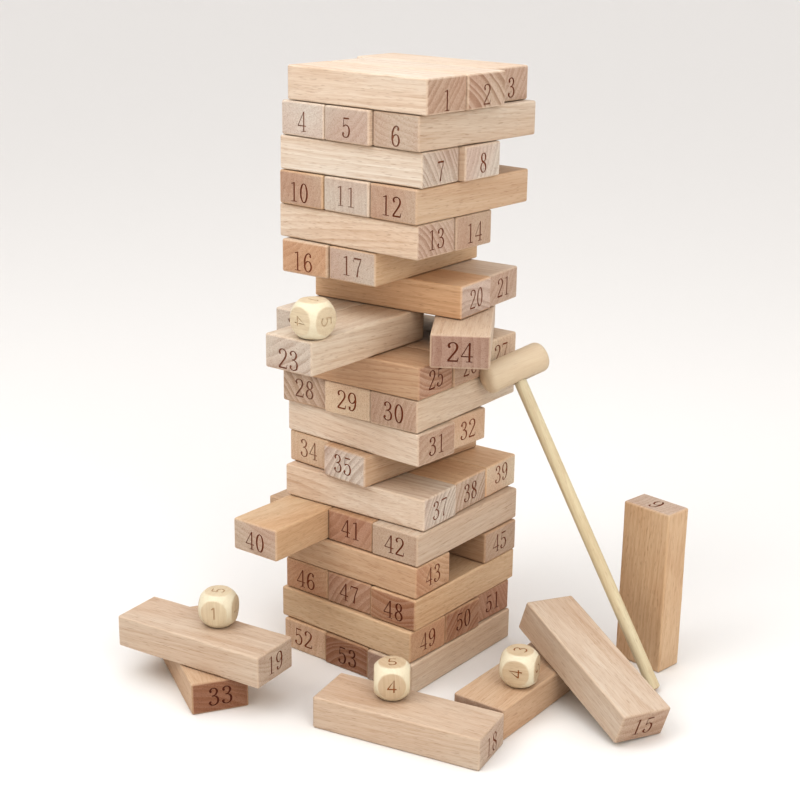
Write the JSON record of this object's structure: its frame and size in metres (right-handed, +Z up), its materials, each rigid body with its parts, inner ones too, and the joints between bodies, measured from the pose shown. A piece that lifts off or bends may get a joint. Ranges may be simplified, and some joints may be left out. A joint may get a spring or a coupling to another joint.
{
  "type": "tumbling tower game",
  "caption": "Stacking tower game of small numbered wooden blocks, part way through play, with loose blocks and dice round its foot and a little mallet leaning on it.",
  "frame": {"origin": "on the floor at the middle of the tower's footprint, on the underside of block 53", "axes": "+Z up the tower. The numbered ends of odd courses, counted from the top, face +X, and those of even courses face -Y."},
  "size_m": [0.2268, 0.1749, 0.2607],
  "materials": {
    "block": "plain sanded hardwood, unvarnished, fine straight grain",
    "pale_block": "plain sanded hardwood, unvarnished, paler sapwood",
    "dark_block": "plain sanded hardwood, unvarnished, redder heartwood",
    "die": "fine pale hardwood, tumbled smooth, unvarnished",
    "mallet_head": "pale hardwood turned smooth, unvarnished",
    "mallet_handle": "pale yellowish dowel, unvarnished"
  },
  "bodies": {
    "tower_base": {"block_53": "dark_block"},
    "block_01": {"block_01": "block"},
    "block_02": {"block_02": "block"},
    "block_03": {"block_03": "block"},
    "block_04": {"block_04": "block"},
    "block_05": {"block_05": "block"},
    "block_06": {"block_06": "block"},
    "block_07": {"block_07": "block"},
    "block_08": {"block_08": "pale_block"},
    "block_09": {"block_09": "block"},
    "block_10": {"block_10": "dark_block"},
    "block_11": {"block_11": "pale_block"},
    "block_12": {"block_12": "dark_block"},
    "block_13": {"block_13": "block"},
    "block_14": {"block_14": "block"},
    "block_15": {"block_15": "block"},
    "block_16": {"block_16": "dark_block"},
    "block_17": {"block_17": "block"},
    "block_18": {"block_18": "block"},
    "block_19": {"block_19": "block"},
    "block_20": {"block_20": "pale_block"},
    "block_21": {"block_21": "block"},
    "block_22": {"block_22": "block"},
    "block_23": {"block_23": "block"},
    "block_24": {"block_24": "block"},
    "block_25": {"block_25": "block"},
    "block_26": {"block_26": "block"},
    "block_27": {"block_27": "block"},
    "block_28": {"block_28": "block"},
    "block_29": {"block_29": "block"},
    "block_30": {"block_30": "block"},
    "block_31": {"block_31": "block"},
    "block_32": {"block_32": "block"},
    "block_33": {"block_33": "dark_block"},
    "block_34": {"block_34": "block"},
    "block_35": {"block_35": "block"},
    "block_36": {"block_36": "block"},
    "block_37": {"block_37": "pale_block"},
    "block_38": {"block_38": "block"},
    "block_39": {"block_39": "block"},
    "block_40": {"block_40": "pale_block"},
    "block_41": {"block_41": "dark_block"},
    "block_42": {"block_42": "block"},
    "block_43": {"block_43": "block"},
    "block_44": {"block_44": "block"},
    "block_45": {"block_45": "block"},
    "block_46": {"block_46": "dark_block"},
    "block_47": {"block_47": "dark_block"},
    "block_48": {"block_48": "dark_block"},
    "block_49": {"block_49": "block"},
    "block_50": {"block_50": "dark_block"},
    "block_51": {"block_51": "dark_block"},
    "block_52": {"block_52": "block"},
    "block_54": {"block_54": "block"},
    "die_on_18": {"die_on_18": "die"},
    "die_on_19": {"die_on_19": "die"},
    "die_on_36": {"die_on_36": "die"},
    "die_on_23": {"die_on_23": "die"},
    "mallet": {"mallet_handle": "mallet_handle", "mallet_head": "mallet_head"}
  },
  "joints": [
    {"name": "block_01_lift", "type": "slide", "parent": "tower_base", "child": "block_01", "axis": [0, 0, 1], "range_m": [0, 0.03]},
    {"name": "block_02_lift", "type": "slide", "parent": "tower_base", "child": "block_02", "axis": [0, 0, 1], "range_m": [0, 0.03]},
    {"name": "block_03_lift", "type": "slide", "parent": "tower_base", "child": "block_03", "axis": [0, 0, 1], "range_m": [0, 0.03]},
    {"name": "block_04_pull", "type": "slide", "parent": "tower_base", "child": "block_04", "axis": [-0.0611, -0.9981, 0], "range_m": [0, 0.08]},
    {"name": "block_05_pull", "type": "slide", "parent": "tower_base", "child": "block_05", "axis": [-0.0611, -0.9981, 0], "range_m": [0, 0.08]},
    {"name": "block_06_pull", "type": "slide", "parent": "tower_base", "child": "block_06", "axis": [-0.0611, -0.9981, 0], "range_m": [0, 0.08]},
    {"name": "block_07_pull", "type": "slide", "parent": "tower_base", "child": "block_07", "axis": [1, 0, 0], "range_m": [0, 0.08]},
    {"name": "block_08_pull", "type": "slide", "parent": "tower_base", "child": "block_08", "axis": [1, 0, 0], "range_m": [0, 0.08]},
    {"name": "block_10_pull", "type": "slide", "parent": "tower_base", "child": "block_10", "axis": [-0.0349, -0.9994, 0], "range_m": [0, 0.08]},
    {"name": "block_11_pull", "type": "slide", "parent": "tower_base", "child": "block_11", "axis": [-0.0349, -0.9994, 0], "range_m": [0, 0.08]},
    {"name": "block_12_pull", "type": "slide", "parent": "tower_base", "child": "block_12", "axis": [-0.0349, -0.9994, 0], "range_m": [0, 0.08]},
    {"name": "block_13_pull", "type": "slide", "parent": "tower_base", "child": "block_13", "axis": [0.9998, -0.0174, 0], "range_m": [0, 0.08]},
    {"name": "block_14_pull", "type": "slide", "parent": "tower_base", "child": "block_14", "axis": [0.9998, -0.0174, 0], "range_m": [0, 0.08]},
    {"name": "block_16_pull", "type": "slide", "parent": "tower_base", "child": "block_16", "axis": [-0.0262, 0.9997, 0], "range_m": [0, 0.08]},
    {"name": "block_17_pull", "type": "slide", "parent": "tower_base", "child": "block_17", "axis": [-0.0262, 0.9997, 0], "range_m": [0, 0.08]},
    {"name": "block_20_pull", "type": "slide", "parent": "tower_base", "child": "block_20", "axis": [0.9962, 0.0872, 0], "range_m": [0, 0.08]},
    {"name": "block_21_pull", "type": "slide", "parent": "tower_base", "child": "block_21", "axis": [0.9962, 0.0872, 0], "range_m": [0, 0.08]},
    {"name": "block_22_pull", "type": "slide", "parent": "tower_base", "child": "block_22", "axis": [0.0174, -0.9998, 0], "range_m": [0, 0.08]},
    {"name": "block_23_pull", "type": "slide", "parent": "tower_base", "child": "block_23", "axis": [0.0174, -0.9998, 0], "range_m": [-0.005, 0.038]},
    {"name": "block_25_pull", "type": "slide", "parent": "tower_base", "child": "block_25", "axis": [-0.9994, -0.0349, 0], "range_m": [0, 0.08]},
    {"name": "block_26_pull", "type": "slide", "parent": "tower_base", "child": "block_26", "axis": [-0.9994, -0.0349, 0], "range_m": [0, 0.08]},
    {"name": "block_27_pull", "type": "slide", "parent": "tower_base", "child": "block_27", "axis": [-0.9994, -0.0349, 0], "range_m": [0, 0.08]},
    {"name": "block_28_pull", "type": "slide", "parent": "tower_base", "child": "block_28", "axis": [0.0349, -0.9994, 0], "range_m": [0, 0.08]},
    {"name": "block_29_pull", "type": "slide", "parent": "tower_base", "child": "block_29", "axis": [0.0349, -0.9994, 0], "range_m": [0, 0.08]},
    {"name": "block_30_pull", "type": "slide", "parent": "tower_base", "child": "block_30", "axis": [0.0349, -0.9994, 0], "range_m": [0, 0.08]},
    {"name": "block_31_pull", "type": "slide", "parent": "tower_base", "child": "block_31", "axis": [-0.999, 0.0436, 0], "range_m": [0, 0.08]},
    {"name": "block_32_pull", "type": "slide", "parent": "tower_base", "child": "block_32", "axis": [-0.999, 0.0436, 0], "range_m": [0, 0.08]},
    {"name": "block_34_pull", "type": "slide", "parent": "tower_base", "child": "block_34", "axis": [-0.0698, -0.9976, 0], "range_m": [0, 0.08]},
    {"name": "block_35_pull", "type": "slide", "parent": "tower_base", "child": "block_35", "axis": [-0.0698, -0.9976, 0], "range_m": [0, 0.08]},
    {"name": "block_37_pull", "type": "slide", "parent": "tower_base", "child": "block_37", "axis": [-0.999, -0.0436, 0], "range_m": [0, 0.08]},
    {"name": "block_38_pull", "type": "slide", "parent": "tower_base", "child": "block_38", "axis": [-0.999, -0.0436, 0], "range_m": [0, 0.08]},
    {"name": "block_39_pull", "type": "slide", "parent": "tower_base", "child": "block_39", "axis": [-0.999, -0.0436, 0], "range_m": [0, 0.08]},
    {"name": "block_40_pull", "type": "slide", "parent": "tower_base", "child": "block_40", "axis": [0.0087, -1, 0], "range_m": [-0.034, 0.043]},
    {"name": "block_41_pull", "type": "slide", "parent": "tower_base", "child": "block_41", "axis": [0.0087, -1, 0], "range_m": [0, 0.08]},
    {"name": "block_42_pull", "type": "slide", "parent": "tower_base", "child": "block_42", "axis": [0.0087, -1, 0], "range_m": [0, 0.08]},
    {"name": "block_43_pull", "type": "slide", "parent": "tower_base", "child": "block_43", "axis": [-1, -0.0087, 0], "range_m": [0, 0.08]},
    {"name": "block_44_pull", "type": "slide", "parent": "tower_base", "child": "block_44", "axis": [-1, -0.0087, 0], "range_m": [-0.029, 0.05]},
    {"name": "block_45_pull", "type": "slide", "parent": "tower_base", "child": "block_45", "axis": [-1, -0.0087, 0], "range_m": [0, 0.08]},
    {"name": "block_46_pull", "type": "slide", "parent": "tower_base", "child": "block_46", "axis": [-0.0087, 1, 0], "range_m": [0, 0.08]},
    {"name": "block_47_pull", "type": "slide", "parent": "tower_base", "child": "block_47", "axis": [-0.0087, 1, 0], "range_m": [0, 0.08]},
    {"name": "block_48_pull", "type": "slide", "parent": "tower_base", "child": "block_48", "axis": [-0.0087, 1, 0], "range_m": [0, 0.08]},
    {"name": "block_49_pull", "type": "slide", "parent": "tower_base", "child": "block_49", "axis": [-0.9997, 0.0262, 0], "range_m": [0, 0.08]},
    {"name": "block_50_pull", "type": "slide", "parent": "tower_base", "child": "block_50", "axis": [-0.9997, 0.0262, 0], "range_m": [0, 0.08]},
    {"name": "block_51_pull", "type": "slide", "parent": "tower_base", "child": "block_51", "axis": [-0.9997, 0.0262, 0], "range_m": [0, 0.08]},
    {"name": "block_52_pull", "type": "slide", "parent": "tower_base", "child": "block_52", "axis": [-0.0087, 1, 0], "range_m": [0, 0.08]},
    {"name": "block_54_pull", "type": "slide", "parent": "tower_base", "child": "block_54", "axis": [-0.0087, 1, 0], "range_m": [0, 0.08]},
    {"name": "block_24_pull", "type": "slide", "parent": "tower_base", "child": "block_24", "axis": [0.549, -0.8358, 0], "range_m": [0, 0.07]},
    {"name": "block_18_push", "type": "slide", "parent": "tower_base", "child": "block_18", "axis": [0.2011, -0.9796, 0], "range_m": [0, 0.04]},
    {"name": "block_33_push", "type": "slide", "parent": "tower_base", "child": "block_33", "axis": [-0.8607, 0.509, 0], "range_m": [0, 0.05]},
    {"name": "block_36_push", "type": "slide", "parent": "tower_base", "child": "block_36", "axis": [0.9996, 0.0297, 0], "range_m": [0, 0.018]},
    {"name": "block_19_lift", "type": "slide", "parent": "block_33", "child": "block_19", "axis": [0, 0, 1], "range_m": [0, 0.025]},
    {"name": "block_15_lift", "type": "slide", "parent": "block_36", "child": "block_15", "axis": [0, 0, 1], "range_m": [0, 0.025]},
    {"name": "block_09_lift", "type": "slide", "parent": "tower_base", "child": "block_09", "axis": [0, 0, 1], "range_m": [0, 0.03]},
    {"name": "die_on_18_lift", "type": "slide", "parent": "block_18", "child": "die_on_18", "axis": [0, 0, 1], "range_m": [0, 0.02]},
    {"name": "die_on_19_lift", "type": "slide", "parent": "block_19", "child": "die_on_19", "axis": [0, 0, 1], "range_m": [0, 0.02]},
    {"name": "die_on_36_lift", "type": "slide", "parent": "block_36", "child": "die_on_36", "axis": [0, 0, 1], "range_m": [0, 0.02]},
    {"name": "die_on_23_lift", "type": "slide", "parent": "block_23", "child": "die_on_23", "axis": [0, 0, 1], "range_m": [0, 0.02]},
    {"name": "mallet_tip", "type": "hinge", "parent": "tower_base", "child": "mallet", "pos_m": [0.1182, 0.0289, 0.00107], "axis": [-0.1115, 0.9938, 0], "range_deg": [0, 40]}
  ]
}
